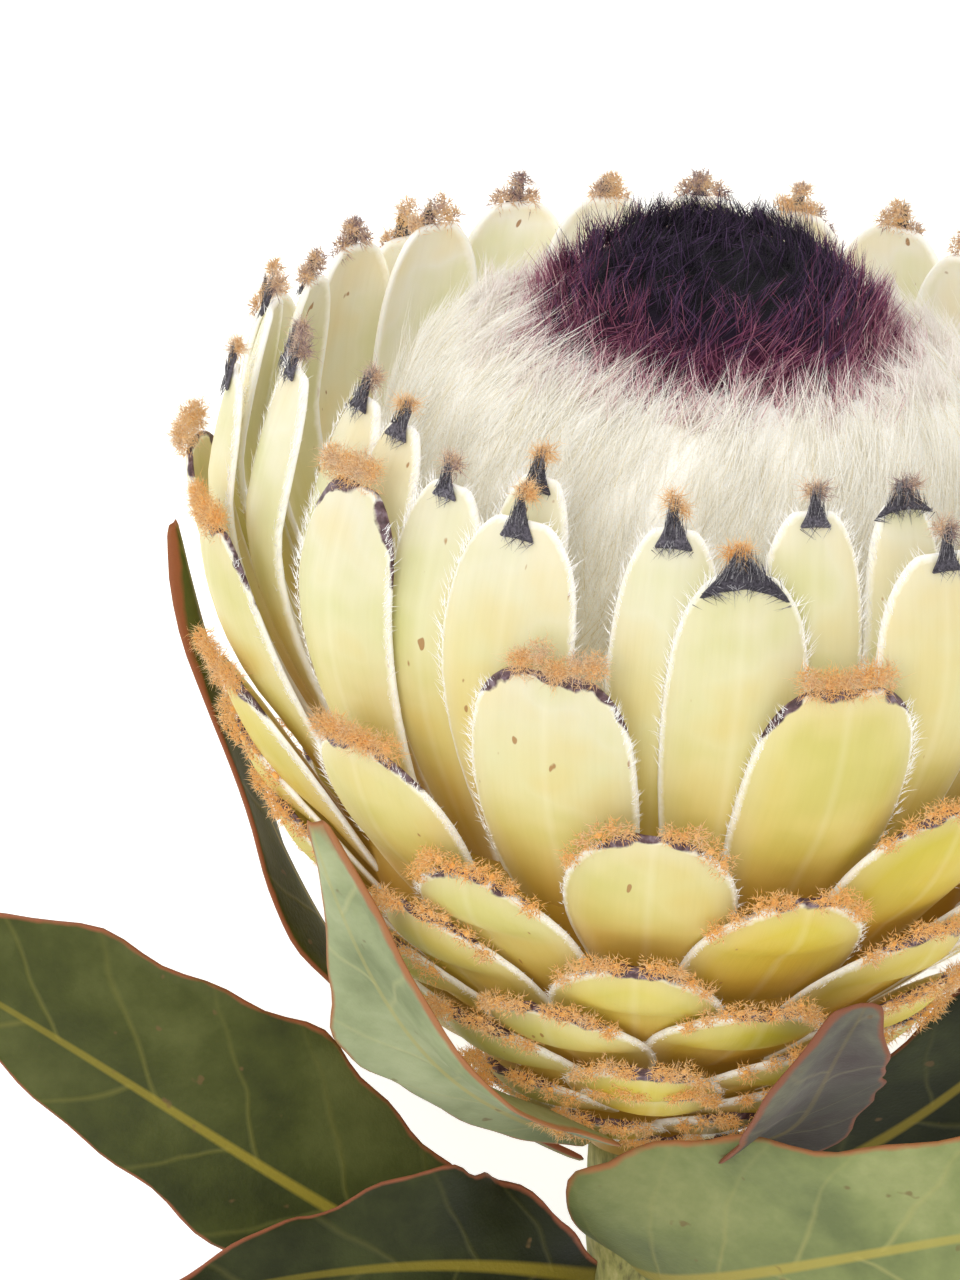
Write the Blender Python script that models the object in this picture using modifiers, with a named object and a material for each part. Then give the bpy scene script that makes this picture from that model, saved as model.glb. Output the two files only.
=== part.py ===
# A cut protea: one bloom on a short leafy stem, lying on a table.
# Blender 4.5. Metres, +Z up, the table at z = 0.
#
# The tables below are in millimetres and degrees, in the bloom's own frame: z runs up the
# bloom's axis from its neck, x to the right and y to the back. Azimuth 0 is the upper side of
# the lying bloom (-y), and azimuths grow to the right. One empty lays the whole thing down.

import math
import random

import bmesh
import bpy
from mathutils import Matrix, Vector

MM = 0.001

# How it lies: the lowest bract tips, pressed flat by its weight, and the stem's cut end touch.
AXIS_RISE = 18.0
NECK_HEIGHT = 36.2
NECK_SHIFT = (4.2, -17.6)
GAP = 0.3  # between pieces that sit against each other

# Stem
STEM_LENGTH = 101.0
STEM_RADIUS = 5.2
STEM_NECK_RADIUS = 6.6
STEM_BEND = 2.5
STEM_SIDES = 14

# The bloom's side outline, which every row of bracts follows: two curves, as (radius, height)
OUTLINE_LOW = [(8.5, 0, 0), (43.5, 22, 0), (74.5, 75.5, 0), (68, 100, 0)]
OUTLINE_TOP = [(68, 100, 0), (65.5, 109, 0), (61, 120, 0), (55, 128, 0)]
OUTLINE_STEPS = 24

# Receptacle: the swollen stem end that everything grows from, as (radius, height)
SPLIT_HEIGHT = 22.0
LOWER_CORE = [(7.2, 0.0), (10.2, 3.2), (15.4, 8.6), (20.6, 14.8), (25.8, SPLIT_HEIGHT)]
UPPER_CORE = [(26.1, SPLIT_HEIGHT + GAP), (33.6, 31.0), (41.2, 41.0), (46.2, 52.0), (48.6, 58.0)]
CORE_SIDES = 20

# Floret mass: white wool, then the dark crown, as (radius, height)
DOME_BASE = 58.0 + GAP
CROWN_BASE = 121.6
DOME = [(35.4, DOME_BASE), (36.6, 70.0), (37.6, 86.0), (38.2, 96.0), (38.8, 104.5),
        (38.4, 111.0), (36.6, 115.6), (33.2, 118.8), (28.4, 120.6), (22.6, CROWN_BASE - GAP)]
CROWN = [(22.6, CROWN_BASE), (23.2, 124.2), (20.8, 127.6), (16.6, 130.8), (11.4, 133.2), (5.6, 134.6)]
DOME_SIDES = 34
TUFTED_ABOVE = 86.0
TUFT_HEIGHT = 2.6
TUFT_LEAN = 2.2
FLAT_ENOUGH = 0.985  # no tuft where a face points this nearly straight up or down

# Bracts. Each row: how deep its tips lie under the outline, how much deeper it gets for each
# millimetre down, its length, width and transverse radius, then (azimuth, tip height) of every
# bract. The whole cup opens by BACK_OPEN at azimuth 180, from OPEN_FROM up to OPEN_TO.
BRACT_ROWS = {
    "scale 1": (0.4, 0.22, 10.5, 12.5, 18.0, [(-40 + 51.4 * k, 8.0) for k in range(7)]),
    "scale 2": (0.4, 0.20, 18.0, 17.0, 24.0, [(-14 + 45.0 * k, 15.0) for k in range(8)]),
    "scale 3": (0.4, 0.20, 25.0, 20.5, 32.0, [(-38 + 40.0 * k, 23.0) for k in range(9)]),
    "scale 4": (0.2, 0.17, 31.0, 23.0, 38.0, [(-1 + 36.0 * k, 32.0) for k in range(10)]),
    "short 1": (0.6, 0.20, 30.0, 24.5, 44.0, [(-19 + 36.0 * k, 42.0) for k in range(10)]),
    "short 2": (0.6, 0.18, 36.0, 25.0, 46.0, [(-4, 53), (40, 55), (74, 54), (108, 53), (144, 54),
                                             (180, 53), (214, 54), (250, 53), (286, 53), (322, 52)]),
    "short 3": (0.6, 0.18, 38.0, 25.0, 44.0, [(-27, 63), (17, 65), (57, 64), (92, 65), (128, 63),
                                             (162, 65), (198, 64), (236, 65), (282, 64)]),
    "broad 1": (0.6, 0.17, 42.0, 24.0, 34.0, [(-3, 75), (34, 78), (72, 76), (109, 79), (146, 77),
                                             (180, 78), (213, 77), (249, 79), (289, 76), (319, 79)]),
    "broad 2": (0.8, 0.16, 58.0, 24.0, 32.0, [(-16, 97), (17, 98), (52, 96), (90, 98), (126, 96),
                                             (163, 97), (197, 97), (232, 98), (262, 96), (290, 98)]),
    "long 1": (2.6, 0.12, 74.0, 20.0, 26.0, [(-47, 113), (-23, 115), (5, 112), (30, 114), (58, 113),
                                            (86, 115), (113, 112), (140, 114), (167, 115), (193, 113),
                                            (220, 115), (247, 113), (276, 114)]),
    "long 2": (5.0, 0.105, 81.0, 15.5, 22.0, [(-35, 117), (-4, 117), (14, 120), (45, 118), (71, 119),
                                            (99, 118), (127, 121), (154, 122), (181, 122), (206, 121),
                                            (233, 119), (262, 120), (289, 121)]),
    "long 3": (7.6, 0.09, 86.0, 13.0, 18.0, [(-48, 122), (-24, 121), (28, 121), (62, 121), (92, 122),
                                            (118, 122), (141, 123), (168, 124), (194, 124), (221, 122),
                                            (250, 121), (279, 121), (303, 123)]),
}
BASE_SCALES = ["scale 1", "scale 2", "scale 3", "scale 4"]
SHORT_BRACTS = ["short 1", "short 2", "short 3"]
BROAD_BRACTS = ["broad 1", "broad 2"]
LONG_BRACTS = ["long 1", "long 2", "long 3"]
BACK_OPEN = 9.0
OPEN_FROM = 56.0
OPEN_TO = 122.0
BRACT_THICKNESS = 1.0
SCALE_OUTLINE = [0.70, 0.98, 0.90, 0.24]
BROAD_OUTLINE = [0.42, 0.80, 1.0, 0.86, 0.26]
LONG_OUTLINE = [0.36, 0.62, 0.96, 0.86, 0.14]
BRACT_COLUMNS = 3
TUFT_OVER_WIDTH = 0.30

# Leaves. Each: the midrib's four control points, width, the way the blade faces at its base
# and at its tip, fold in degrees, edge wave height, number of waves and the blade's outline.
LEAF_OUTLINE = [0.15, 0.42, 0.72, 0.92, 1.0, 0.97, 0.84, 0.60, 0.30, 0.05]
LOBED_OUTLINE = [0.34, 0.80, 0.96, 1.0, 0.98, 0.92, 0.80, 0.60, 0.32, 0.06]
TAPERED_OUTLINE = [0.13, 0.26, 0.48, 0.74, 0.92, 1.0, 0.98, 0.86, 0.56, 0.10]
LEAVES = {
    "leaf_left": ([(-5.9, -0.9, -29), (-34, -17, -17), (-66, -20, 12), (-114, 8, 20)],
                  38.0, (0.1, -1, 0.4), (0.1, -1, 0.3), 8, 1.6, 2.0, TAPERED_OUTLINE),
    "leaf_front_left": ([(-3.9, -6.0, -20), (-16, -18, -13), (-32, -34, -3), (-64, -45, -9)],
                        32.0, (0.2, -1, 0.5), (-0.2, -1, 0.5), 16, 3.0, 2.5, TAPERED_OUTLINE),
    "leaf_right": ([(1.0, -6.9, -17), (9, -31, -12), (47, -50, 21), (106, -30, 15)],
                   31.0, (0.1, -1, -0.05), (0.1, -1, 0.3), 10, 2.2, 2.5, LOBED_OUTLINE),
    "leaf_hug_left": ([(-6.0, -3.4, -5), (-22, -16, -2), (-36, -38, 21), (-48, -46, 65)],
                      21.0, (-0.5, -1, 0.0), (-0.7, -0.8, 0.0), 14, 1.6, 2.0, LEAF_OUTLINE),
    "leaf_tall_left": ([(-6.8, 2.5, -9), (-36, 7, -5), (-57, 16, 26), (-71.5, 12, 83)],
                       28.0, (-1, -0.3, -0.4), (-1, 0.1, 0.0), 12, 1.6, 2.5, LEAF_OUTLINE),
    "leaf_small_right": ([(6.5, -2.6, -6), (25, -5, -9), (19, -35, 20), (27, -52, 48)],
                         17.0, (0.4, -1, 0.0), (0.4, -1, 0.1), 14, 1.2, 1.5, LEAF_OUTLINE),
    "leaf_tall_right": ([(6.2, 3.4, -14), (32, 6, -9), (58, -2, 20), (75, -12, 66)],
                        29.0, (0.6, -0.8, -0.2), (0.9, -0.5, 0.0), 12, 1.8, 2.5, LEAF_OUTLINE),
    "leaf_back_right": ([(5.6, 4.6, -30), (34, 10, -40), (66, 8, -52), (96, -4, -60)],
                        31.0, (0.1, -1, 0.3), (0.2, -1, 0.0), 10, 2.2, 2.0, LEAF_OUTLINE),
    "leaf_back_left": ([(-5.0, 3.6, -42), (-30, 8, -56), (-58, 4, -70), (-88, -6, -76)],
                       30.0, (0.0, -1, 0.3), (-0.2, -1, 0.0), 10, 2.2, 2.0, LEAF_OUTLINE),
}
LEAF_THICKNESS = 0.9
LEAF_COLUMNS = 4


def clear_scene():
    for obj in list(bpy.data.objects):
        bpy.data.objects.remove(obj)


def material(name, colour, roughness):
    made = bpy.data.materials.new(name)
    made.use_nodes = True
    shader = made.node_tree.nodes["Principled BSDF"]
    shader.inputs["Base Color"].default_value = (*colour, 1.0)
    shader.inputs["Roughness"].default_value = roughness
    shader.inputs["Metallic"].default_value = 0.0
    return made


def collection(name):
    made = bpy.data.collections.new(name)
    bpy.context.scene.collection.children.link(made)
    return made


def blend_of(values, share):
    """The value at a share from 0 to 1 along an evenly spaced list."""
    place = share * (len(values) - 1)
    low = min(int(place), len(values) - 2)
    return values[low] + (values[low + 1] - values[low]) * (place - low)


def cubic(points, share):
    a, b, c, d = (Vector(p) for p in points)
    rest = 1.0 - share
    return (a * rest**3 + b * (3 * rest**2 * share) + c * (3 * rest * share**2) + d * share**3)


def cubic_direction(points, share):
    a, b, c, d = (Vector(p) for p in points)
    rest = 1.0 - share
    return ((b - a) * rest**2 + (c - b) * (2 * rest * share) + (d - c) * share**2).normalized()


def sample_outline():
    """Points (radius, height) of the bloom's outline, from the neck up, each with its distance."""
    shares = [k / OUTLINE_STEPS for k in range(OUTLINE_STEPS + 1)]
    points = [cubic(OUTLINE_LOW, k) for k in shares] + [cubic(OUTLINE_TOP, k) for k in shares[1:]]
    distances = [0.0]
    for a, b in zip(points, points[1:]):
        distances.append(distances[-1] + (b - a).length)
    return points, distances


OUTLINE_POINTS, OUTLINE_DISTANCES = sample_outline()


def outline_at(distance):
    """The outline's point at a distance along it, and its direction there."""
    low = 0
    while low < len(OUTLINE_POINTS) - 2 and OUTLINE_DISTANCES[low + 1] < distance:
        low += 1
    a, b = OUTLINE_POINTS[low], OUTLINE_POINTS[low + 1]
    share = (distance - OUTLINE_DISTANCES[low]) / (b - a).length
    return a.lerp(b, share), (b - a).normalized()


def outline_distance(height):
    """The distance along the outline at which it reaches a height."""
    heights = [p.y for p in OUTLINE_POINTS]
    low = max(k for k in range(len(heights) - 1) if heights[k] <= height)
    share = (height - heights[low]) / (heights[low + 1] - heights[low])
    return OUTLINE_DISTANCES[low] + share * (OUTLINE_DISTANCES[low + 1] - OUTLINE_DISTANCES[low])


def opening(azimuth, height):
    """How far the cup opens at a place, because it leans open towards the table."""
    share = min(max((height - OPEN_FROM) / (OPEN_TO - OPEN_FROM), 0.0), 1.0)
    return BACK_OPEN * (1 - math.cos(math.radians(azimuth))) / 2 * share**1.5


def pressed(point):
    """Lifts a point of the bloom onto the table where its weight presses it there."""
    rise = math.radians(AXIS_RISE)
    up = Vector((0, -math.cos(rise), math.sin(rise)))
    return point - up * min(NECK_HEIGHT + point.dot(up), 0.0)


def bract_point(row, azimuth, height, widths, across, along):
    """A point of a bract's outer face: across runs from -1 to 1, along from 0 to 1."""
    tip_depth, slope, length, width, bend_radius, _ = row
    below_tip = length * (1 - along)
    middle, direction = outline_at(outline_distance(height) - below_tip)
    middle = middle + Vector((-direction.y, direction.x, 0)) * (tip_depth + slope * below_tip)
    turn = math.radians(azimuth)
    outward = Vector((math.sin(turn), -math.cos(turn), 0))
    sideways = Vector((math.cos(turn), math.sin(turn), 0))
    normal = outward * direction.y - Vector((0, 0, 1)) * direction.x
    angle = across * width / 2 * blend_of(widths, along) / bend_radius
    radius = middle.x + opening(azimuth, middle.y)
    centre = outward * radius + Vector((0, 0, middle.y))
    inward = bend_radius * (1 - math.cos(angle))
    return pressed(centre + sideways * (bend_radius * math.sin(angle)) - normal * inward)


def plate(name, columns, rows, place, thickness, holder):
    """A thin blade: a grid laid on a curved surface by place(across, along), given thickness."""
    mesh = bpy.data.meshes.new(name)
    grid = bmesh.new()
    bmesh.ops.create_grid(grid, x_segments=columns, y_segments=rows, size=1.0)
    for vertex in grid.verts:
        vertex.co = place(vertex.co.x, (vertex.co.y + 1) / 2) * MM
    bmesh.ops.triangulate(grid, faces=grid.faces[:])
    grid.to_mesh(mesh)
    grid.free()
    obj = bpy.data.objects.new(name, mesh)
    holder.objects.link(obj)
    wall = obj.modifiers.new("thickness", "SOLIDIFY")
    wall.thickness = thickness * MM
    wall.offset = -1.0
    return obj


def wool_tuft(name, row, azimuth, height, widths, draw, holder):
    """The wool on a bract's tip: a small ragged clump, wider than it is deep."""
    tip = bract_point(row, azimuth, height, widths, 0.0, 0.93)
    half_width = row[3] * TUFT_OVER_WIDTH
    turn = Matrix.Rotation(math.radians(azimuth), 3, "Z")
    mesh = bpy.data.meshes.new(name)
    clump = bmesh.new()
    bmesh.ops.create_uvsphere(clump, u_segments=4, v_segments=2, radius=1.0)
    for vertex in clump.verts:
        ragged = vertex.co * draw.uniform(0.8, 1.35)
        size = Vector((ragged.x * half_width, ragged.y * 2.3, ragged.z * 2.9))
        vertex.co = pressed(tip + turn @ size) * MM
    clump.to_mesh(mesh)
    clump.free()
    obj = bpy.data.objects.new(name, mesh)
    holder.objects.link(obj)
    return obj


def turned(name, profile, steps, holder):
    """A solid turned about the bloom's axis from (radius, height) points, lowest first."""
    points = [(0.0, profile[-1][1]), *reversed(profile), (0.0, profile[0][1])]
    mesh = bpy.data.meshes.new(name)
    mesh.from_pydata([(r * MM, 0, z * MM) for r, z in points],
                     [(i, i + 1) for i in range(len(points) - 1)], [])
    obj = bpy.data.objects.new(name, mesh)
    holder.objects.link(obj)
    spin = obj.modifiers.new("turn", "SCREW")
    spin.steps = steps
    spin.render_steps = steps
    spin.use_merge_vertices = True
    spin.merge_threshold = 0.00001
    return obj


def as_mesh(obj):
    """Bakes an object's modifiers into its mesh."""
    bpy.context.view_layer.update()
    graph = bpy.context.evaluated_depsgraph_get()
    mesh = bpy.data.meshes.new_from_object(obj.evaluated_get(graph))
    obj.modifiers.clear()
    obj.data = mesh
    return obj


def fuse(core, pieces):
    """Joins a collection of pieces to their core as one body."""
    join = core.modifiers.new("grown together", "BOOLEAN")
    join.operation = "UNION"
    join.operand_type = "COLLECTION"
    join.collection = pieces
    join.solver = "MANIFOLD"
    as_mesh(core)
    for obj in list(pieces.objects):
        bpy.data.objects.remove(obj)
    bpy.data.collections.remove(pieces)


def grow_bracts(core, groups, draw):
    """Grows rows of bracts out of a core: (row names, widths, columns, woolly tip) in each group."""
    pieces = collection("pieces_of_" + core.name)
    for names, widths, columns, woolly in groups:
        for row in (BRACT_ROWS[name] for name in names):
            for azimuth, height in row[5]:
                def place(across, along):
                    return bract_point(row, azimuth, height, widths, across, along)
                plate("bract", columns, len(widths) - 1, place, BRACT_THICKNESS, pieces)
                if woolly:
                    wool_tuft("wool", row, azimuth, height, widths, draw, pieces)
    fuse(core, pieces)


def raise_tufts(obj, above, draw):
    """Raises every face above a height into a small tuft that leans up towards the crown."""
    as_mesh(obj)
    body = bmesh.new()
    body.from_mesh(obj.data)
    faces = [f for f in body.faces if f.calc_center_median().z > above * MM and abs(f.normal.z) < FLAT_ENOUGH]
    poked = bmesh.ops.poke(body, faces=faces)
    for vertex in poked["verts"]:
        outward = vertex.normal
        upward = (Vector((0, 0, 1)) - outward * outward.z)
        raised = outward * TUFT_HEIGHT * draw.uniform(0.7, 1.15)
        vertex.co += (raised + upward * TUFT_LEAN) * MM
    body.to_mesh(obj.data)
    body.free()


def twist(obj, degrees_per_mm):
    """Turns each level of a turned body a little further than the one below, as florets spiral."""
    for vertex in obj.data.vertices:
        turn = Matrix.Rotation(math.radians(degrees_per_mm * vertex.co.z / MM), 3, "Z")
        vertex.co = turn @ vertex.co


def leaf_surface(points, width, face_base, face_tip, fold, wave, waves, outline):
    """The function that lays a leaf's blade along its midrib."""
    def place(across, along):
        middle = cubic(points, along)
        forward = cubic_direction(points, along)
        facing = Vector(face_base).lerp(Vector(face_tip), along)
        side = forward.cross(facing).normalized()
        normal = side.cross(forward).normalized()
        reach = across * width / 2 * blend_of(outline, along)
        lift = abs(reach) * math.tan(math.radians(fold))
        shift = 0.9 if across > 0 else 0.0
        ripple = wave * across**2 * math.sin(2 * math.pi * (waves * along + shift)) * min(1.0, 3 * along)
        return middle + side * reach + normal * (lift + ripple)
    return place


def make_leaf(name, spec, holder):
    surface = leaf_surface(*spec)
    return plate(name, LEAF_COLUMNS, len(LEAF_OUTLINE) - 1, surface, LEAF_THICKNESS, holder)


def make_stem(holder):
    """A slightly bent round stem that widens to the neck, cut square at its lower end."""
    curve = bpy.data.curves.new("stem", "CURVE")
    curve.dimensions = "3D"
    curve.bevel_depth = 1.0 * MM
    curve.bevel_resolution = STEM_SIDES // 4
    curve.use_fill_caps = True
    steps = 9
    spline = curve.splines.new("POLY")
    spline.points.add(steps)
    for k, point in enumerate(spline.points):
        share = k / steps
        bend = STEM_BEND * math.sin(math.pi * share) * share
        point.co = (bend * MM, 0, (-GAP - STEM_LENGTH * share) * MM, 1)
        point.radius = STEM_RADIUS + (STEM_NECK_RADIUS - STEM_RADIUS) * (1 - share) ** 3
    guide = bpy.data.objects.new("stem_curve", curve)
    holder.objects.link(guide)
    as_curve = guide.evaluated_get(bpy.context.evaluated_depsgraph_get())
    body = bmesh.new()
    body.from_mesh(bpy.data.meshes.new_from_object(as_curve))
    bmesh.ops.remove_doubles(body, verts=body.verts[:], dist=0.00001)
    mesh = bpy.data.meshes.new("stem")
    body.to_mesh(mesh)
    body.free()
    bpy.data.objects.remove(guide)
    obj = bpy.data.objects.new("stem", mesh)
    holder.objects.link(obj)
    return obj


def lay_down(objects, holder):
    """Puts the whole bloom on its side with one parent."""
    lying = bpy.data.objects.new("lying_bloom", None)
    holder.objects.link(lying)
    lying.rotation_euler = (math.radians(AXIS_RISE - 90), 0, 0)
    lying.location = (NECK_SHIFT[0] * MM, NECK_SHIFT[1] * MM, NECK_HEIGHT * MM)
    for obj in objects:
        obj.parent = lying


def main():
    clear_scene()
    draw = random.Random(7)
    flower = collection("protea")

    stem = make_stem(flower)
    scales = turned("base_scales", LOWER_CORE, CORE_SIDES, flower)
    grow_bracts(scales, [(BASE_SCALES, SCALE_OUTLINE, 2, False)], draw)
    bracts = turned("bracts", UPPER_CORE, CORE_SIDES, flower)
    grow_bracts(bracts, [(SHORT_BRACTS, SCALE_OUTLINE, 2, False),
                         (BROAD_BRACTS, BROAD_OUTLINE, BRACT_COLUMNS, True),
                         (LONG_BRACTS, LONG_OUTLINE, 2, True)], draw)

    dome = turned("floret_dome", DOME, DOME_SIDES, flower)
    raise_tufts(dome, TUFTED_ABOVE, draw)
    twist(dome, 1.1)
    crown = turned("floret_crown", CROWN, DOME_SIDES, flower)
    raise_tufts(crown, CROWN_BASE + 0.5, draw)
    twist(crown, 1.1)
    leaves = [make_leaf(name, spec, flower) for name, spec in LEAVES.items()]

    cream = material("cream bract", (0.86, 0.82, 0.56), 0.55)
    yellow_green = material("yellow-green scale", (0.62, 0.58, 0.24), 0.6)
    wool = material("white wool", (0.88, 0.85, 0.76), 0.9)
    purple = material("dark purple wool", (0.06, 0.03, 0.07), 0.85)
    leaf_green = material("grey-green leaf", (0.16, 0.24, 0.12), 0.5)
    bark = material("green-brown stem", (0.36, 0.33, 0.16), 0.7)
    looks = {stem: bark, scales: yellow_green, bracts: cream, dome: wool, crown: purple}
    looks.update({leaf: leaf_green for leaf in leaves})
    for obj, look in looks.items():
        obj.data.materials.clear()
        obj.data.materials.append(look)

    lay_down(list(looks), flower)


main()
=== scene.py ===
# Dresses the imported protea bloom. Finer bracts, florets, leaves and stem stand over the CAD
# solids, with wool, silky hair, veins and colour. Tables are in millimetres, as in the CAD:
# z up the bloom's axis from its neck, x right, y back; toTable lays that frame down.
import math
from functools import partial

import bmesh
import bpy
import numpy as np
from mathutils import Matrix, Vector


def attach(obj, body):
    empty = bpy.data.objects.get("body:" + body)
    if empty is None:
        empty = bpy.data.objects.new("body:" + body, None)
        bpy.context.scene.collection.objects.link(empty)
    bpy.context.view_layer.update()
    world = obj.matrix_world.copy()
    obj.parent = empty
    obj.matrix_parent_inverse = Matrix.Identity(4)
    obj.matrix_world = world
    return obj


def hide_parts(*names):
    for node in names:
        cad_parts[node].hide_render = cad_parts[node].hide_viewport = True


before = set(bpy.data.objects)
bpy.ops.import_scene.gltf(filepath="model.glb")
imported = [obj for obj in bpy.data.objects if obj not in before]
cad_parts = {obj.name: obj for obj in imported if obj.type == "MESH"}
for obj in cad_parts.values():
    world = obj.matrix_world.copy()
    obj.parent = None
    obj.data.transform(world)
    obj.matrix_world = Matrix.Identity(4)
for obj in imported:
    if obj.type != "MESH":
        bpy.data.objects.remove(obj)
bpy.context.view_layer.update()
draw = np.random.default_rng(11)
print("frame loaded")

# ---- how the bloom lies, the same as in the CAD
lying = {"axisRise": 18.0, "neckHeight": 36.2, "neckShift": (4.2, -17.6)}
axisRise = math.radians(lying["axisRise"])
fullTurn = 2 * math.pi
axis = np.array([0, 0, 1.0])  # up the bloom

# ---- camera: stands in front of the bloom and looks down on it
photoCamera = {"elevation": 22.5, "roll": 4.636, "distance": 900.0, "lookAt": (0, 0, 65.0),
               "offset": (26.87, -10.19), "lens": 183.7, "sensor": 36, "clip": (0.01, 100)}


def toTable(points):
    # bloom's own frame in mm to the scene in metres, nothing below the table
    x, y, z = points.T
    shiftX, shiftY = lying["neckShift"]
    north = y * math.sin(axisRise) + z * math.cos(axisRise) + shiftY
    height = lying["neckHeight"] - y * math.cos(axisRise) + z * math.sin(axisRise)
    return np.column_stack([x + shiftX, north, np.maximum(height, 0.02)]) * 0.001


def unit(vectors):
    return vectors / np.maximum(np.linalg.norm(vectors, axis=-1, keepdims=True), 1e-9)


def onCurve(fourPoints, t):
    a, b, c, d = np.array(fourPoints, float)
    return a * (1 - t) ** 3 + b * 3 * (1 - t) ** 2 * t + c * 3 * (1 - t) * t * t + d * t ** 3


def placeCamera():
    across, high = photoCamera["offset"]
    place = (Matrix.Translation((*lying["neckShift"], lying["neckHeight"]))
             @ Matrix.Rotation(axisRise - math.pi / 2, 4, "X") @ Matrix.Translation(photoCamera["lookAt"])
             @ Matrix.Rotation(math.radians(90 - photoCamera["elevation"]), 4, "X")
             @ Matrix.Rotation(math.radians(photoCamera["roll"]), 4, "Z")
             @ Matrix.Translation((-across, -high, photoCamera["distance"])))
    place.translation *= 0.001
    bpy.ops.object.camera_add()
    camera = bpy.context.active_object
    camera.name = "photoCamera"
    camera.matrix_world = place
    camera.data.lens = photoCamera["lens"]
    camera.data.sensor_width = photoCamera["sensor"]
    camera.data.clip_start, camera.data.clip_end = photoCamera["clip"]
    bpy.context.scene.camera = camera


# ---- materials
# the sockets that a node's sources go to, in order, where these aren't simply 0, 1, 2 and on
socketOrder = {"Mix": (0, 6, 7), "TexNoise": (0, 2, 3, 4, 1), "Mapping": (0, 3),
               "Bump": ("Strength", "Distance", "Height")}


def linearColour(hexColour):
    parts = [int(hexColour[k:k + 2], 16) / 255 for k in (1, 3, 5)]
    return (*(c / 12.92 if c <= 0.04045 else ((c + 0.055) / 1.055) ** 2.4 for c in parts), 1.0)


def feed(tree, node, socket, source):
    # a source is a node, one output of a node, a hex colour or a plain value
    if isinstance(source, bpy.types.Node):
        source = source.outputs[2 if source.bl_idname in ("ShaderNodeMix", "ShaderNodeAttribute") else 0]
    if isinstance(source, bpy.types.NodeSocket):
        tree.links.new(source, node.inputs[socket])
    else:
        node.inputs[socket].default_value = linearColour(source) if isinstance(source, str) else source


def addNode(tree, kind, *sources, stops=(), **settings):
    # adds one node with its settings, colour stops and sources; a kind in capitals is a Math node's
    node = tree.nodes.new("ShaderNode" + ("Math" if kind.isupper() else kind))
    if kind.isupper():
        node.operation = kind
    elif kind == "Mix":
        node.data_type = "RGBA"
    for key, value in settings.items():
        setattr(node, key, value)
    for k, (place, colour) in enumerate(stops):
        ramp = node.color_ramp.elements
        element = ramp[k] if k < len(ramp) else ramp.new(1.0)
        element.position = place
        element.color = linearColour(colour)
    for socket, source in zip(socketOrder.get(kind, range(9)), sources):
        feed(tree, node, socket, source)
    return node


def setShader(made, **sources):
    for key, source in sources.items():
        feed(made.node_tree, made.node_tree.nodes["Principled BSDF"], key.replace("_", " "), source)


def startMaterial(name, **values):
    made = bpy.data.materials.new(name)
    made.use_nodes = True
    setShader(made, **values)
    return made, partial(addNode, made.node_tree)


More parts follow.
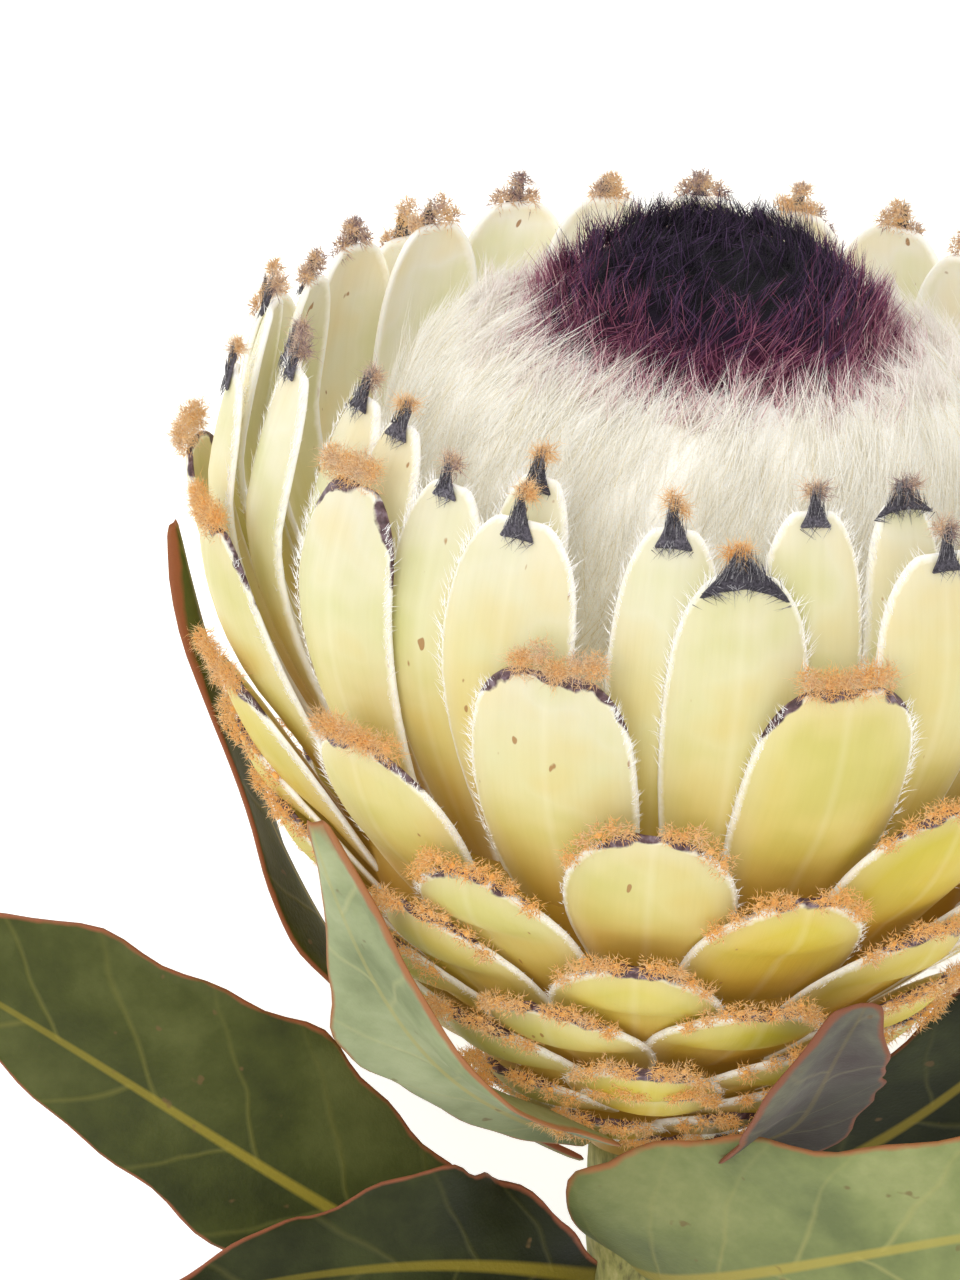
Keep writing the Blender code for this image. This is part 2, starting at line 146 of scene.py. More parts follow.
def waxyBract():
    # fresh bract: leathery skin with a thin bloom of wax, so its shine is broad and soft
    # a little glow stands for daylight that comes through the thin bracts
    made, add = startMaterial("waxyBractSkin", Roughness=0.48, IOR=1.42, Subsurface_Weight=0.12,
                              Subsurface_Radius=(0.004, 0.003, 0.0012), Subsurface_Scale=0.6,
                              Emission_Strength=0.11)
    rim, tipward, ripenessAndLight, tone, share, margin = (
        add("Attribute", attribute_name=key) for key in ("rim", "tipward", "ripenessAndLight", "tone", "share", "margin"))
    uvs = add("UVMap", uv_map="UVMap")
    spot = add("TexCoord").outputs["Object"]
    cream = add("ValToRGB", share, stops=[(0.0, "#B48632"), (0.25, "#C9A450"), (0.48, "#D5C57C"),
                                          (0.74, "#D3CFA3"), (1.0, "#D8D3BF")])
    yellow = add("ValToRGB", share, stops=[(0.0, "#A67C30"), (0.35, "#BE9838"), (0.62, "#C6AE34"),
                                           (0.85, "#C9B83A"), (1.0, "#CCB646")])
    skin = add("Mix", ripenessAndLight, cream, yellow)
    # the lowest scales turn brown; the tall bracts behind the florets are nearly white, partly their own pale
    # colour, partly painted light on their shaded inner faces
    skin = add("Mix", add("MapRange", ripenessAndLight, 1.0, 1.5, 0.0, 0.6), skin, "#A88452")
    skin = add("Mix", add("MapRange", ripenessAndLight, -0.45, 0.0, 0.8, 0.0), skin, "#F7F4EA")
    # lengthwise veins, about one every 0.8 mm
    fibres = add("TexNoise", add("Mapping", uvs, (125.0, 5.0, 1.0)), 1.0, 3.0, 0.6)
    veins = add("ValToRGB", fibres, stops=[(0.35, "#E9E6CC"), (0.62, "#FFFFFF")])
    skin = add("Mix", 0.12, skin, veins, blend_type="MULTIPLY")
    # green and yellow clouds a centimetre wide, so that no two bracts are the same colour
    clouds = add("ValToRGB", add("TexNoise", spot, 70.0, 2.0, 0.5),
                 stops=[(0.36, "#E4EAB0"), (0.52, "#FFFFFF"), (0.68, "#FFEDBC")])
    skin = add("Mix", 0.45, skin, clouds, blend_type="MULTIPLY")
    # the skin pales towards both sides
    skin = add("Mix", add("MapRange", rim, 0.3, 4.0, 0.3, 0.0), skin, "#E4DCBC")
    # faint pale line down the middle, 1 mm wide
    offMiddle = add("ABSOLUTE", add("SUBTRACT", add("SeparateXYZ", uvs), 0.5))
    skin = add("Mix", add("MapRange", offMiddle, 0.001, 0.009, 0.07, 0.0), skin, "#FBF8E4")
    # brown specks, longer than wide, as where insects and wind have marked the skin
    specks = add("TexNoise", add("Mapping", uvs, (62.0, 24.0, 1.0)), 1.0, 1.0, 0.4,
                 add("MULTIPLY", tone, 37.0), noise_dimensions="4D")
    skin = add("Mix", add("MapRange", specks, 0.742, 0.765, 0.0, 0.85), skin, "#9A6A34")
    # silky white margin on the sides, dark dry margin of uneven width round the tip
    rough = add("TexNoise", spot, 900.0, 2.0, 0.6)
    ragged = add("MULTIPLY_ADD", rough, 0.6, rim)
    skin = add("Mix", add("MapRange", ragged, 0.5, 1.35, 0.9, 0.0), skin, "#FBF8EF")
    uneven = add("MapRange", add("TexNoise", spot, 210.0, 1.0, 0.5), 0.36, 0.62, 0.35, 1.25)
    atTip = add("MapRange", tipward, 0.80, 0.98, 0.0, 1.0)
    reach = add("MULTIPLY", add("MULTIPLY", margin, uneven), atTip)
    dry = add("MapRange", add("SUBTRACT", reach, ragged), -0.1, 0.25, 0.0, 1.0)
    dryTone = add("ValToRGB", rough, stops=[(0.35, "#402A2C"), (0.5, "#5C4347"), (0.66, "#7E6C74")])
    skin = add("Mix", dry, skin, dryTone)
    setShader(made, Base_Color=skin, Emission_Color=skin, Normal=add("Bump", 0.2, 0.0003, fibres))
    return made


def fineHair(name, roughness, sheen, grain, shades, glow=0.0):
    # plant wool: thin dull hairs; their colour runs with shade (which hair) and share (root to tip)
    # shades: which hair, colour of its root, colour of its tip
    # glow stands for the light that real white wool passes on from hair to hair
    made, add = startMaterial(name, Roughness=roughness, IOR=1.45, Sheen_Weight=sheen,
                              Sheen_Roughness=0.5, Specular_IOR_Level=0.25, Emission_Strength=glow)
    shade = add("Attribute", attribute_name="shade")
    share = add("Attribute", attribute_name="share")
    roots = add("ValToRGB", shade, stops=[(place, root) for place, root, _ in shades])
    tips = add("ValToRGB", shade, stops=[(place, tip) for place, _, tip in shades])
    # the roots are coloured darker than the tips: painted shade deep in the wool, where the hairs cover each
    # other
    hair = add("Mix", share, roots, tips)
    # single hairs are too thin to model where they felt together: a grain of 0.3 mm stands for them
    felted = add("TexNoise", add("TexCoord").outputs["Object"], 3200.0, 3.0, 0.7)
    tufts = add("ValToRGB", felted, stops=[(0.32, grain), (0.62, "#FFFFFF")])
    both = add("Mix", 1.0, hair, tufts, blend_type="MULTIPLY")
    setShader(made, Base_Color=both, Emission_Color=both, Normal=add("Bump", 0.6, 0.0004, felted))
    return made


def leafSkin(name, dark, green, pale, veinColour, ribColour, edgeColour):
    # leathery leaf with a grey bloom of wax: dull, slightly blue, yellow veins and a rusty edge
    made, add = startMaterial(name, Roughness=0.58, IOR=1.42, Subsurface_Weight=0.05,
                              Subsurface_Radius=(0.001, 0.002, 0.0005), Subsurface_Scale=0.5,
                              Specular_IOR_Level=0.28)
    apart = add("SeparateXYZ", add("UVMap", uv_map="UVMap"))
    rim = add("Attribute", attribute_name="rim")
    share = add("Attribute", attribute_name="share")
    spot = add("TexCoord").outputs["Object"]
    skin = add("ValToRGB", add("TexNoise", spot, 55.0, 5.0, 0.6),
               stops=[(0.32, dark), (0.5, green), (0.68, pale)])
    # side veins leave the midrib every 8 mm and run forward to the edge
    middle = add("SUBTRACT", apart, 0.5)
    away = add("ABSOLUTE", middle)
    forward = add("MULTIPLY_ADD", away, -1.15, apart.outputs[1])
    forward = add("MULTIPLY_ADD", add("TexNoise", spot, 60.0, 2.0, 0.5), 0.09, forward)
    forward = add("MULTIPLY_ADD", add("SIGN", middle), 0.022, forward)
    sideVein = add("MapRange", add("PINGPONG", forward, 0.085), 0.0, 0.009, 0.55, 0.0)
    sideVein = add("MULTIPLY", sideVein, add("MapRange", away, 0.02, 0.17, 1.0, 0.25))
    skin = add("Mix", sideVein, skin, veinColour)
    # midrib 2.4 mm wide at the base, thin and faint near the tip
    ribShare = add("DIVIDE", away, add("MapRange", share, 0.0, 1.0, 0.014, 0.003))
    rib = add("MULTIPLY", add("MapRange", ribShare, 0.5, 1.1, 0.92, 0.0),
              add("MapRange", share, 0.25, 0.85, 1.0, 0.35))
    skin = add("Mix", rib, skin, ribColour)
    # darker and greyer towards the base: partly age, partly painted shade near the stem
    baseShadeAndAge = add("ValToRGB", share, stops=[(0.05, "#C4C4B4"), (0.5, "#FFFFFF")])
    skin = add("Mix", 1.0, skin, baseShadeAndAge, blend_type="MULTIPLY")
    # small brown marks and the rusty edge
    marks = add("TexNoise", spot, 260.0, 2.0, 0.5)
    skin = add("Mix", add("MapRange", marks, 0.70, 0.74, 0.0, 0.6), skin, "#6E5433")
    edge = add("MapRange", add("MULTIPLY_ADD", marks, 0.7, rim), 0.6, 1.1, 0.95, 0.0)
    skin = add("Mix", edge, skin, edgeColour)
    # fine grain of the skin, 0.5 mm, and the side veins stand out a little
    relief = add("MULTIPLY_ADD", sideVein, 1.6, add("TexNoise", spot, 1600.0, 2.0, 0.5))
    setShader(made, Base_Color=skin, Normal=add("Bump", 0.3, 0.0003, relief))
    return made


def stemBark():
    # young green wood: dull bark with lengthwise ridges; the cut end shows pale wood and pith
    made, add = startMaterial("youngStemBark", Roughness=0.68, IOR=1.45)
    spot = add("TexCoord").outputs["Object"]
    cut = add("Attribute", attribute_name="cut")
    ridges = add("TexNoise", add("Mapping", spot, (900.0, 60.0, 900.0)), 1.0, 4.0, 0.6)
    bark = add("ValToRGB", ridges, stops=[(0.3, "#5E5A2E"), (0.5, "#8A8748"), (0.72, "#A79C66")])
    wood = add("ValToRGB", add("TexNoise", spot, 700.0, 3.0, 0.5),
               stops=[(0.35, "#C9B787"), (0.65, "#E6DCB4")])
    setShader(made, Base_Color=add("Mix", cut, bark, wood), Normal=add("Bump", 0.5, 0.0005, ridges))
    return made


# ---- mesh work shared by all pieces
def startModel(addPrimitive, **values):
    # adds a plain shape and opens it for modelling, all of it selected
    bpy.ops.object.select_all(action="DESELECT")
    addPrimitive(**values)
    bpy.ops.object.transform_apply(location=True, rotation=False, scale=False)
    bpy.ops.object.mode_set(mode="EDIT")
    bpy.ops.mesh.select_all(action="SELECT")
    return bpy.context.active_object


def finishModel(model, rounds):
    # rounds the modelled shape off; gives its corner points and its three-sided and four-sided faces
    bpy.ops.object.mode_set(mode="OBJECT")
    if rounds:
        smooth = model.modifiers.new("smooth", "SUBSURF")
        smooth.levels = rounds
        smooth.render_levels = rounds
    for modifier in list(model.modifiers):
        bpy.ops.object.modifier_apply(modifier=modifier.name)
    mesh = model.data
    points = np.zeros(len(mesh.vertices) * 3)
    mesh.vertices.foreach_get("co", points)
    faces = {}
    for polygon in mesh.polygons:
        faces.setdefault(len(polygon.vertices), []).append(list(polygon.vertices))
    bpy.data.objects.remove(model)
    return points.reshape(-1, 3), [np.array(group) for group in faces.values()]


class PartsBin:
    # gathers copies of modelled shapes until they become one mesh
    def __init__(self):
        self.points, self.faces, self.uv, self.attributes, self.count = [], {}, [], {}, 0

    def add(self, points, faceSets, attributes, uv=None):
        for faces in faceSets:
            self.faces.setdefault(faces.shape[1], []).append(faces + self.count)
        for key, values in attributes.items():
            self.attributes.setdefault(key, []).append(np.broadcast_to(values, len(points)))
        self.points.append(points)
        if uv is not None:
            self.uv.append(uv)
        self.count += len(points)

    def finish(self, name, material, slot, nodes, smooth=True):
        if not self.points:
            return
        faceSets = [np.concatenate(group) for group in self.faces.values()]
        corners = np.concatenate([faces.ravel() for faces in faceSets])
        sizes = np.concatenate([np.full(len(faces), faces.shape[1]) for faces in faceSets])
        mesh = bpy.data.meshes.new(name)
        mesh.vertices.add(self.count)
        mesh.vertices.foreach_set("co", toTable(np.concatenate(self.points)).astype(np.float32).ravel())
        mesh.loops.add(len(corners))
        mesh.loops.foreach_set("vertex_index", corners.astype(np.int32))
        mesh.polygons.add(len(sizes))
        mesh.polygons.foreach_set("loop_start", (np.cumsum(sizes) - sizes).astype(np.int32))
        mesh.update(calc_edges=True)
        if smooth:
            mesh.shade_smooth()
        else:
            mesh.shade_flat()  # hairs three flat sides wide keep more of the light
        for key, values in self.attributes.items():
            layer = mesh.attributes.new(key, "FLOAT", "POINT")
            layer.data.foreach_set("value", np.concatenate(values).astype(np.float32))
        if self.uv:
            uv = np.concatenate(self.uv)[corners]
            mesh.uv_layers.new(name="UVMap").data.foreach_set("uv", uv.astype(np.float32).ravel())
        mesh.materials.append(material)
        piece = bpy.data.objects.new(name, mesh)
        bpy.context.scene.collection.objects.link(piece)
        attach(piece, "root")
        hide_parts(*nodes)
        print(name, len(corners) - 2 * len(sizes), "triangles")


def finishAlone(name, points, faces, attributes, material, slot, nodes, uv=None):
    alone = PartsBin()
    alone.add(points, faces, attributes, uv)
    alone.finish(name, material, slot, nodes)


def modelBlade(stations, width, length, look):
    # a flat blade in mm: a grid whose rows are moved and drawn in to the outline, then thickened
    # stations: share of the length, share of half the width
    rows = len(stations) - 1
    blade = startModel(bpy.ops.mesh.primitive_grid_add, x_subdivisions=look["columns"],
                       y_subdivisions=rows, size=2)
    grid = bmesh.from_edit_mesh(blade.data)
    levels = [[v for v in grid.verts if abs(v.co.y + 1 - 2 * k / rows) < 0.01] for k in range(rows + 1)]
    for level, (along, halfWidth) in zip(levels, stations):
        for part in (*grid.faces, *grid.verts):
            part.select = False
        for vertex in level:
            vertex.select = True
        grid.select_flush_mode()
        bmesh.update_edit_mesh(blade.data)
        height = level[0].co.y
        bpy.ops.transform.resize(value=(halfWidth * width / 2, 1, 1), center_override=(0, height, 0))
        bpy.ops.transform.translate(value=(0, along * length - height, 0))
        grid = bmesh.from_edit_mesh(blade.data)
    wall = blade.modifiers.new("wall", "SOLIDIFY")
    wall.thickness = look["thickness"]
    wall.offset = -1
    return finishModel(blade, look["rounds"])


def modelTurned(profile, sides, rounds):
    # a ring extruded up through (radius, height) stations and closed at both ends
    body = startModel(bpy.ops.mesh.primitive_circle_add, vertices=sides, radius=profile[0][0],
                      location=(0, 0, profile[0][1]), fill_type="NGON")
    for (radius, height), (nextRadius, nextHeight) in zip(profile, profile[1:]):
        bpy.ops.mesh.extrude_region_move(TRANSFORM_OT_translate={"value": (0, 0, nextHeight - height)})
        size = nextRadius / radius
        bpy.ops.transform.resize(value=(size, size, 1), center_override=(0, 0, nextHeight))
    bpy.ops.mesh.select_all(action="SELECT")
    bpy.ops.mesh.normals_make_consistent(inside=False)
    return finishModel(body, rounds)


def modelLump():
    # one felted lump of wool, one unit across its radius; hair hides it
    lump = startModel(bpy.ops.mesh.primitive_ico_sphere_add, subdivisions=1, radius=1)
    bpy.ops.transform.vertex_random(offset=0.25, uniform=0.5, normal=0.6, seed=4)
    return finishModel(lump, 0)


def bladeRim(points, stations, width, length):
    # each point's distance from the edge in mm, and how far towards the tip its nearest edge is
    alongs = np.linspace(0, 1, 120)
    halves = np.interp(alongs, *stations.T) * width / 2
    tipX = np.linspace(-halves[-1], halves[-1], 12)
    edgeX = np.concatenate([halves, -halves, tipX])
    edgeY = np.concatenate([alongs, alongs, np.ones(12)]) * length
    gaps = np.hypot(points[:, None, 0] - edgeX, points[:, None, 1] - edgeY)
    nearest = gaps.argmin(axis=1)
    return np.maximum(gaps.min(axis=1) - 0.25, 0), edgeY[nearest] / length


# ---- bracts: the rows of the CAD, with the finer outline of each kind
outlineLow = [(8.5, 0), (43.5, 22), (74.5, 75.5), (68, 100)]
outlineTop = [(68, 100), (65.5, 109), (61, 120), (55, 128)]
cupOpening = {"back": 9.0, "from": 56.0, "to": 122.0}
bladeShapes = {
    "scale": [(0, 0.70), (0.2, 0.88), (0.36, 0.98), (0.5, 1.0), (0.62, 0.96), (0.72, 0.88), (0.82, 0.72),
              (0.9, 0.52), (0.96, 0.32), (1.0, 0.12)],
    "arched": [(0, 0.42), (0.18, 0.68), (0.36, 0.9), (0.5, 0.99), (0.61, 1.0), (0.71, 0.96), (0.8, 0.86),
               (0.88, 0.71), (0.945, 0.5), (1.0, 0.18)],
    "broad": [(0, 0.42), (0.18, 0.68), (0.36, 0.88), (0.52, 0.98), (0.66, 1.0), (0.78, 0.98), (0.87, 0.91),
              (0.94, 0.77), (0.98, 0.58), (1.0, 0.4)],
    "long": [(0, 0.36), (0.18, 0.52), (0.36, 0.74), (0.52, 0.91), (0.66, 0.99), (0.78, 1.0), (0.87, 0.94),
             (0.93, 0.81), (0.975, 0.6), (1.0, 0.38)],
}
# depth of the tips below the outline, slope inwards, length, width, bend radius, belly, ripeness,
# blade shape, usual tip, then the azimuth and tip height of every bract, and its tip if not the usual
bractRows = {
    "scale1": (0.4, 0.22, 10.5, 12.5, 18.0, 0.9, 1.45, "scale", "arch",
               [(-40 + 51.4 * k, 8) for k in range(7)]),
    "scale2": (0.4, 0.20, 18.0, 17.0, 24.0, 1.3, 1.3, "scale", "arch",
               [(-14 + 45.0 * k, 15) for k in range(8)]),
    "scale3": (0.4, 0.20, 25.0, 20.5, 32.0, 1.5, 1.12, "scale", "arch",
               [(-38 + 40.0 * k, 23) for k in range(9)]),
    "scale4": (0.2, 0.17, 31.0, 23.0, 38.0, 1.7, 0.9, "scale", "arch",
               [(-1 + 36.0 * k, 32) for k in range(10)]),
    "short1": (0.6, 0.20, 30.0, 24.5, 44.0, 1.8, 0.9, "scale", "arch",
               [(-19 + 36.0 * k, 42) for k in range(10)]),
    "short2": (0.6, 0.18, 36.0, 25.0, 46.0, 1.8, 0.85, "scale", "arch",
               [(-4, 53), (40, 55), (74, 54), (108, 53), (144, 54), (180, 53), (214, 54), (250, 53),
                (286, 53), (322, 52)]),
    "short3": (0.6, 0.18, 38.0, 25.0, 44.0, 1.8, 0.86, "scale", "arch",
               [(-27, 63), (17, 65), (57, 64), (92, 65), (128, 63), (162, 65), (198, 64), (236, 65),
                (282, 64)]),
    "broad1": (0.6, 0.17, 42.0, 24.5, 34.0, 1.5, 0.76, "arched", "cap",
               [(-3, 75, "arch"), (34, 78, "arch"), (72, 76), (109, 79), (146, 77), (180, 78), (213, 77),
                (249, 79), (289, 76), (319, 79)]),
    "broad2": (0.8, 0.16, 58.0, 24.0, 32.0, 1.2, 0.3, "broad", "cap",
               [(-16, 97), (17, 98), (52, 96), (90, 98, "peak"), (126, 96), (163, 97, "peak"), (197, 97),
                (232, 98, "peak"), (262, 96), (290, 98)]),
    "long1": (2.6, 0.12, 74.0, 20.0, 26.0, 0.6, 0.06, "long", "peak",
              [(-47, 113, "cap"), (-23, 115), (5, 112, "wide"), (30, 114), (58, 113), (86, 115), (113, 112),
               (140, 114), (167, 115), (193, 113), (220, 115), (247, 113), (276, 114)]),
    "long2": (5.0, 0.105, 81.0, 15.5, 22.0, 0.4, 0.05, "long", "peak",
              [(-35, 117), (-4, 117), (14, 120), (45, 118), (71, 119), (99, 118), (127, 121), (154, 122),
               (181, 122), (206, 121), (233, 119), (262, 120), (289, 121)]),
    "long3": (7.6, 0.09, 86.0, 13.0, 18.0, 0.3, 0.05, "long", "peak",
              [(-48, 122), (-24, 121), (28, 121, "wide"), (62, 121), (92, 122), (118, 122), (141, 123),
               (168, 124), (194, 124), (221, 122), (250, 121), (279, 121), (303, 123)]),
}
# the low scales stand in spirals, so their tips are not level
stagger = {"scale1": 3.0, "scale2": 4.0, "scale3": 5.0, "scale4": 5.5, "short1": 5.5, "short2": 4.0}
# patchy, uneven and paler: how far ripeness varies round the bloom, by chance and towards the back; the
# paling towards the back is partly painted light on the shaded far bracts
bractLook = {"thickness": 1.0, "columns": 6, "rounds": 1, "backWidth": 22.5, "curledSides": 0.5,
             "patchy": 0.3, "uneven": 0.06, "paler": 0.5,
             "bareLength": {"scale": 15.0, "arched": 26.0, "broad": 34.0, "long": 52.0},
             "dryMargin": {"arch": 1.6, "cap": 1.7, "peak": 0.1, "wide": 0.1}}
woolSize = {"hairRadius": 0.066, "wispRadius": 0.042, "wispCurl": 0.5, "wispTurns": 0.8, "patch": 0.12,
            "core": 0.32, "silkRadius": 0.055, "feltRadius": 0.065, "farShare": 0.45}
# tufts: half width and height of a clump, hairs, their length, share of wisps, stoutness of the rest;
# the first three of an arch are for each mm of the bract's width
tuftLook = {"arch": (0.072, 0.06, 47, 1.2, 0.0, 1.35), "cap": (2.3, 2.8, 1650, 1.5, 0.1, 1.0),
            "peak": (1.1, 1.2, 300, 1.6, 0.5, 1.0), "back": (2.0, 2.0, 640, 1.5, 0.04, 1.5)}
# silk on both sides of a blade: from and to as shares of its length, hairs a side, their length
silkLook = {"arch": (0.42, 0.93, 110, 1.2), "cap": (0.3, 0.95, 190, 1.6), "peak": (0.5, 1.0, 160, 1.9),
            "back": (0.5, 1.0, 110, 1.8)}
peakShape = np.array([(0, 1.0), (0.14, 0.82), (0.34, 0.56), (0.58, 0.38), (0.8, 0.26), (1.0, 0.18)])
peakSize = {"width": 6.6, "length": 6.2, "hairs": 140, "lift": 0.75, "columns": 2, "thickness": 0.7,
            "rounds": 1}


def sampleOutline():
    # the bloom's side outline carried on past both ends: distance along it, radius, height and its
    # direction out and up
    t = np.linspace(0, 1, 90)[:, None]
    points = np.concatenate([onCurve(outlineLow, t), onCurve(outlineTop, t)[1:]])
    first, last = unit(points[1] - points[0]), unit(points[-1] - points[-2])
    points = np.concatenate([[points[0] - first * 12], points, [points[-1] + last * 40]])
    steps = np.linalg.norm(np.diff(points, axis=0), axis=1)
    distance = np.concatenate([[0], np.cumsum(steps)])
    radius, height = points.T
    return distance, radius, height, np.gradient(radius, distance), np.gradient(height, distance)


outlineDistance, *outlineCurves = sampleOutline()


def pressed(points):
    # the bloom's weight presses its lowest side flat on the table
    up = np.array([0, -math.cos(axisRise), math.sin(axisRise)])
    return points - np.minimum(lying["neckHeight"] + points @ up, 0)[:, None] * up


def layBract(row, azimuth, tipHeight, local):
    # local: x across, y up from the base, z outwards, all in mm on the flat blade
    depth, slope, length, _, bend = row[:5]
    x, y, lift = local.T
    below = length - y
    distance = np.interp(tipHeight, outlineCurves[1], outlineDistance) - below
    radius, height, out, up = (np.interp(distance, outlineDistance, curve) for curve in outlineCurves)
    inwards = depth + slope * below
    radius, height = radius - up * inwards, height + out * inwards
    share = np.clip((height - cupOpening["from"]) / (cupOpening["to"] - cupOpening["from"]), 0, 1)
    turn = math.radians(azimuth)
    radius = radius + cupOpening["back"] * (1 - math.cos(turn)) / 2 * share ** 1.5
    outward = np.array([math.sin(turn), -math.cos(turn), 0])
    sideways = np.array([math.cos(turn), math.sin(turn), 0])
    normal = outward * up[:, None] - axis * out[:, None]
    angle = (x / bend)[:, None]
    centre = outward * radius[:, None] + axis * height[:, None]
    face = pressed(centre + sideways * bend * np.sin(angle) - normal * bend * (1 - np.cos(angle)))
    return pressed(face + (normal * np.cos(angle) + sideways * np.sin(angle)) * lift[:, None])


def localHeading(where, local, heading):
    # a direction on the flat blade, turned with the laid one
    return unit(layBract(*where, local + unit(heading) * 0.5) - layBract(*where, local))


def tipContour(stations, width, length, x):
    # height of the blade's edge above the base at a distance x from its middle, round the tip
    upper = stations[stations[:, 0] >= 0.5][::-1]
    return np.interp(np.abs(x), upper[:, 1] * width / 2, upper[:, 0] * length)


# ---- hair
def addHair(binOfParts, roots, headings, lengths, radius, sag, steps, shade, curl=0.0):
    # three-sided tapered hairs, closed at root and tip
    count = len(roots)
    shares = np.linspace(0, 1, steps + 1)
    across = unit(np.cross(headings, draw.normal(size=(count, 3))))
    aside = np.cross(headings, across)
    spine = roots[:, None] + headings[:, None] * (lengths[:, None] * shares)[:, :, None]
    spine = spine + sag[:, None] * (shares ** 2)[None, :, None]
    if curl:
        phase = draw.uniform(0, fullTurn, (count, 1))
        turn = phase + fullTurn * woolSize["wispTurns"] * shares * draw.uniform(0.7, 1.3, (count, 1))
        size = curl * shares ** 0.6
        spine = spine + across[:, None] * ((np.cos(turn) - np.cos(phase)) * size)[:, :, None]
        spine = spine + aside[:, None] * ((np.sin(turn) - np.sin(phase)) * size)[:, :, None]
    rings = []
    for k in range(steps):
        size = np.reshape(radius, (-1, 1)) * (1 - 0.7 * shares[k])
        for side in range(3):
            angle = fullTurn * side / 3
            rings.append(spine[:, k] + (across * math.cos(angle) + aside * math.sin(angle)) * size)
    rings.append(spine[:, -1])
    each = 3 * steps + 1
    starts = (np.arange(count) * each)[:, None]
    quads = [starts + np.array([3 * k + i, 3 * k + (i + 1) % 3, 3 * k + 3 + (i + 1) % 3, 3 * k + 3 + i])
             for k in range(steps - 1) for i in range(3)]
    last = 3 * (steps - 1)
    triangles = [starts + np.array([last + i, last + (i + 1) % 3, each - 1]) for i in range(3)]
    triangles.append(starts + np.array([0, 2, 1]))
    faceSets = ([np.concatenate(quads)] if quads else []) + [np.concatenate(triangles)]
    share = np.tile(np.concatenate([np.repeat(shares[:-1], 3), [1.0]]), count)
    binOfParts.add(np.stack(rings, axis=1).reshape(-1, 3), faceSets,
                   {"share": share, "shade": np.repeat(shade, each)})


def woolAlong(wool, lump, where, spots, shade, half, high, hairs, length, wisps, stout):
    # a tuft of wool round spots (x, y) of a blade: short fine hairs crossing each other at every
    # depth, over small lumps that close the middle
    lumpPoints, lumpFaces = lump
    count = len(spots)
    sizes = np.array([half, high, high * 0.62]) * draw.uniform(0.75, 1.15, (count, 1))
    middles = np.column_stack([spots, draw.uniform(-0.3, 0.4, count)])
    phase = draw.uniform(0, fullTurn)

    def toneAt(x, y):
        return shade + woolSize["patch"] * (np.sin(x * 1.3 + phase) + np.sin(y * 2.1 + phase * 2))
    for middle, size in zip(middles, sizes):
        turn = np.array(Matrix.Rotation(draw.uniform(0, 6.28), 3, "Z"))
        local = (lumpPoints @ turn.T) * size * woolSize["core"] + middle
        # the lumps take the darker root colour: painted shade in the middle of the tuft
        wool.add(layBract(*where, local), lumpFaces,
                 {"share": 0.1, "shade": np.clip(toneAt(local[:, 0], local[:, 1]), 0, 1)})
    pick = draw.integers(0, count, hairs)
    out = unit(draw.normal(size=(hairs, 3)) + [0, 0.3, 0.5])
    depth = draw.uniform(0.2, 1.0, (hairs, 1)) ** 0.7
    roots = middles[pick] + out * sizes[pick] * depth
    loosened = unit(out / sizes[pick]) * 0.7 + draw.normal(scale=0.8, size=(hairs, 3))
    headings = localHeading(where, roots, loosened)
    laid = layBract(*where, roots)
    tones = np.clip(toneAt(roots[:, 0], roots[:, 1]) + draw.normal(scale=0.1, size=hairs), 0, 1)
    # most hairs are short and straight, the wisps are longer, thinner and crinkled
    short = int(hairs * (1 - wisps))
    body, loose = slice(0, short), slice(short, hairs)
    # the outer hairs are thinner, which keeps the outline soft
    radius = woolSize["hairRadius"] * stout * (1.3 - 0.6 * depth[body, 0])
    addHair(wool, laid[body], headings[body], length * draw.uniform(0.5, 1.2, short), radius,
            np.zeros((short, 3)), 1, tones[body])
    addHair(wool, laid[loose], headings[loose], length * draw.uniform(0.9, 1.9, hairs - short),
            woolSize["wispRadius"], np.zeros((hairs - short, 3)), 2, tones[loose], woolSize["wispCurl"])


def silkAlong(silk, where, stations, shown, low, high, hairs, length):
    # straight white hairs on both side edges of a blade, between two shares of its length
    _, _, bladeLength, width = where[0][:4]
    hairs = int(hairs * shown)
    for side in (-1, 1):
        along = low + (high - low) * draw.random(hairs) ** 0.6  # thicker towards the tip
        half = np.interp(along, *stations.T) * width / 2
        local = np.column_stack([side * (half - draw.uniform(0.2, 1.3, hairs)), along * bladeLength,
                                 draw.uniform(-0.5, 0.05, hairs)])
        heading = np.column_stack([side * draw.uniform(0.1, 1.1, hairs), draw.uniform(0.5, 2.2, hairs),
                                   draw.uniform(-0.2, 0.6, hairs)])
        lengths = length * draw.uniform(0.25, 1.3, hairs)
        shades = draw.uniform(0.4, 1.0, hairs)
        addHair(silk, layBract(*where, local), localHeading(where, local, heading), lengths,
                woolSize["silkRadius"], draw.normal(scale=0.2, size=(hairs, 3)), 1, shades)


